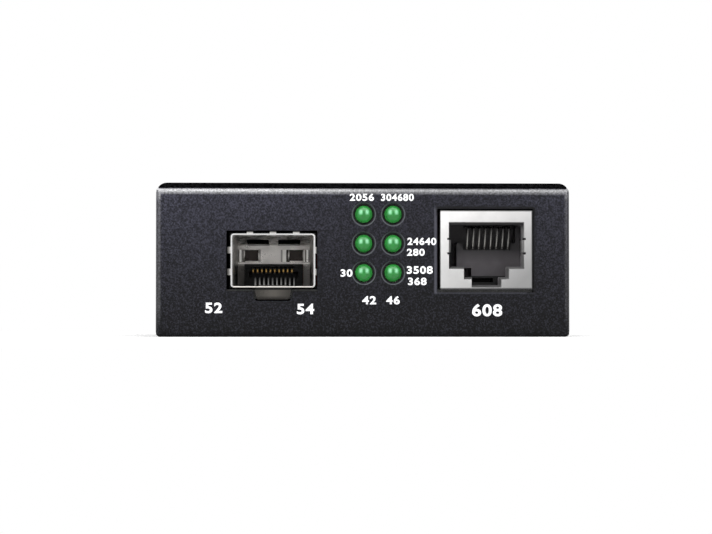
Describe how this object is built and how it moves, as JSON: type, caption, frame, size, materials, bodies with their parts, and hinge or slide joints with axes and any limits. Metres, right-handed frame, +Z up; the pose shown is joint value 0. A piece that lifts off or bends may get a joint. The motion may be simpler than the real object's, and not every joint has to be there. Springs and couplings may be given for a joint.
{
  "type": "fibre media converter",
  "caption": "Small folded-steel network box with a fibre transceiver cage, a copper jack and status lamps in front, and a power jack and slide switch behind.",
  "frame": {"origin": "centre of the underside of the housing, on the surface it rests on", "axes": "+Z up, -Y out of the front panel with the ports, +X to the right seen from the front"},
  "size_m": [0.07, 0.0982, 0.026],
  "materials": {
    "base_paint": "fine textured powder coat",
    "cover_paint": "fine textured powder coat",
    "black_screw": "black oxide",
    "zinc_steel": "zinc plated",
    "board_green": "solder mask",
    "plated_shield": "satin nickel plate",
    "plated_cage": "bright tin plate",
    "grey_moulding": "moulded",
    "black_moulding": "moulded",
    "white_moulding": "moulded",
    "red_moulding": "moulded",
    "gold_contact": "gold flash",
    "tin_contact": "tinned",
    "green_lens": "tinted clear moulding",
    "chip_epoxy": "moulded epoxy",
    "ferrite": "sintered",
    "capacitor_can": "sleeved can",
    "ceramic_chip": "fired"
  },
  "bodies": {
    "housing": {"base_chassis": "base_paint", "board_screws": "zinc_steel", "board_standoffs": "zinc_steel", "capacitor_1": "capacitor_can", "capacitor_2": "capacitor_can", "chip_capacitors": "ceramic_chip", "chip_resistors": "chip_epoxy", "circuit_board": "board_green", "cover_screws": "black_screw", "crystal_can": "zinc_steel", "dc_jack_body": "black_moulding", "dc_jack_pin": "tin_contact", "dc_jack_spring": "tin_contact", "dip_switch_body": "red_moulding", "dip_switch_pins": "tin_contact", "input_diode": "chip_epoxy", "input_fuse": "ceramic_chip", "lamp_1": "green_lens", "lamp_2": "green_lens", "lamp_3": "green_lens", "lamp_4": "green_lens", "lamp_5": "green_lens", "lamp_6": "green_lens", "lamp_holder": "black_moulding", "lamp_leads": "tin_contact", "lan_transformer": "black_moulding", "lan_transformer_pins": "tin_contact", "main_chip": "chip_epoxy", "memory_chip": "chip_epoxy", "memory_chip_pins": "tin_contact", "power_inductor": "ferrite", "regulator": "chip_epoxy", "regulator_pins": "tin_contact", "rj45_contacts": "gold_contact", "rj45_insert": "grey_moulding", "rj45_shield": "plated_shield", "sfp_cage_floor": "plated_cage", "sfp_cage_shell": "plated_cage", "sfp_connector_body": "black_moulding", "sfp_contacts_lower": "tin_contact", "sfp_contacts_upper": "gold_contact", "sfp_ground_collar": "plated_cage", "top_cover": "cover_paint"},
    "dip_slider_1": {"dip_slider_1": "white_moulding"},
    "dip_slider_2": {"dip_slider_2": "white_moulding"}
  },
  "joints": [
    {"name": "slider_1_travel", "type": "slide", "parent": "housing", "child": "dip_slider_1", "axis": [0, 0, 1], "range_m": [0, 0.002]},
    {"name": "slider_2_travel", "type": "slide", "parent": "housing", "child": "dip_slider_2", "axis": [0, 0, 1], "range_m": [0, 0.002]}
  ]
}
